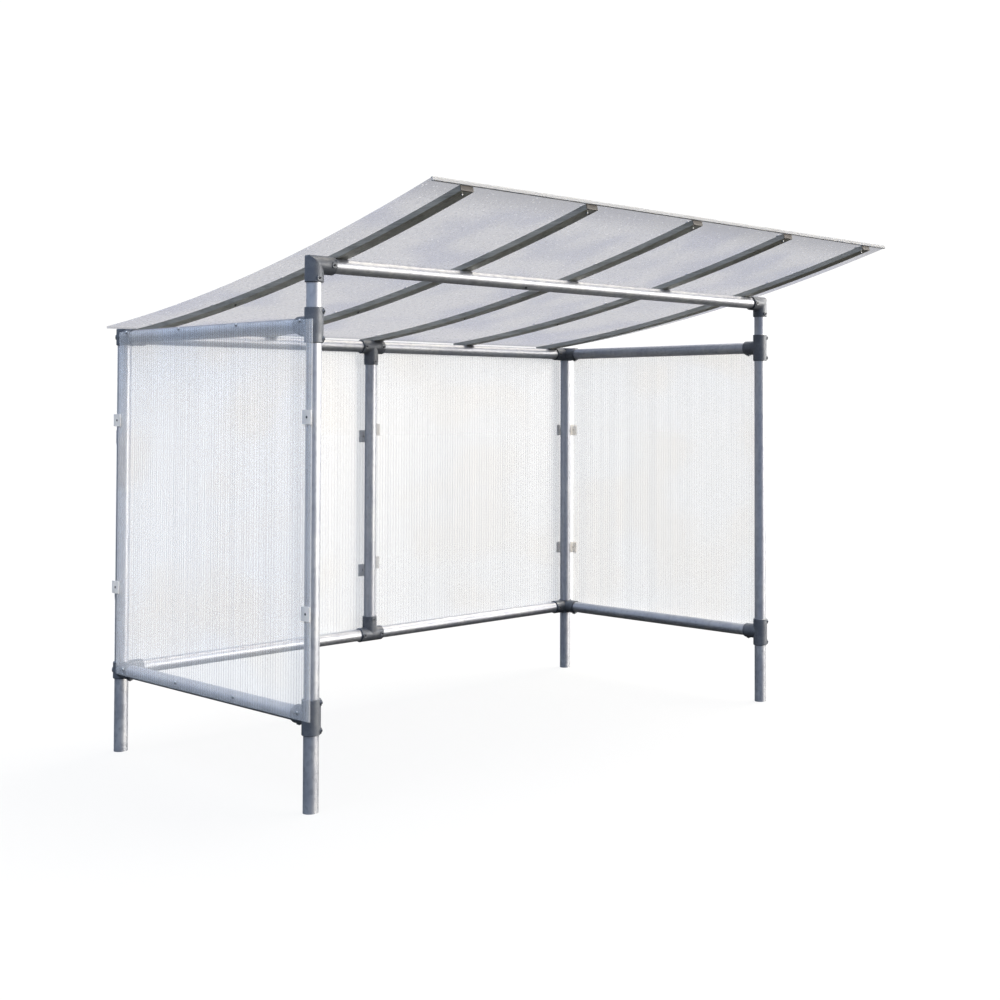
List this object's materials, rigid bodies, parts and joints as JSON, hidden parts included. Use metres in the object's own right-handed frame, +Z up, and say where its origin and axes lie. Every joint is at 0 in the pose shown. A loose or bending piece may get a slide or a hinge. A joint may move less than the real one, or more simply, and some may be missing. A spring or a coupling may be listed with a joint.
{
  "type": "bike shelter",
  "caption": "Open-fronted bike shelter: galvanised tube frame in cast clamp fittings, fluted translucent walls and a curved opal roof on flat rafters",
  "frame": {"origin": "on the ground under the middle of the shelter's plan outline", "axes": "Z up; the open front faces -Y; X runs along the front beam, left post at -X"},
  "size_m": [2.921, 2.376, 2.3934],
  "materials": {
    "galvanised_tube": "hot-dip galvanised, dull",
    "cast_fitting": "galvanised casting, fine sand texture",
    "rafter_metal": "mill finish, slightly weathered",
    "cap_plastic": "moulded, matt",
    "opal_sheet": "opal translucent sheet, satin",
    "white_edging": "white paint, satin",
    "fluted_sheet": "clear twin-wall sheet with upright flutes",
    "clip_metal": "off-white coated plate"
  },
  "bodies": {
    "root": {"front_left_post": "galvanised_tube", "front_right_post": "galvanised_tube", "back_left_post": "galvanised_tube", "back_right_post": "galvanised_tube", "back_middle_post": "galvanised_tube", "front_beam": "galvanised_tube", "back_top_rail": "galvanised_tube", "back_bottom_rail": "galvanised_tube", "left_top_rail": "galvanised_tube", "right_top_rail": "galvanised_tube", "left_bottom_rail": "galvanised_tube", "right_bottom_rail": "galvanised_tube", "front_left_elbow": "cast_fitting", "front_right_elbow": "cast_fitting", "front_left_upper_tee": "cast_fitting", "front_right_upper_tee": "cast_fitting", "front_left_lower_tee": "cast_fitting", "front_right_lower_tee": "cast_fitting", "back_left_top_corner": "cast_fitting", "back_right_top_corner": "cast_fitting", "back_left_lower_corner": "cast_fitting", "back_right_lower_corner": "cast_fitting", "back_middle_top_tee": "cast_fitting", "back_middle_lower_tee": "cast_fitting", "rafter_1": "rafter_metal", "rafter_2": "rafter_metal", "rafter_3": "rafter_metal", "rafter_4": "rafter_metal", "rafter_5": "rafter_metal", "rafter_end_caps": "cap_plastic", "roof_sheet": "opal_sheet", "roof_front_edging": "white_edging", "left_wall_panel": "fluted_sheet", "right_wall_panel": "fluted_sheet", "back_left_panel": "fluted_sheet", "back_right_panel": "fluted_sheet", "left_wall_clips": "clip_metal", "right_wall_clips": "clip_metal", "back_wall_clips": "clip_metal"}
  },
  "joints": []
}
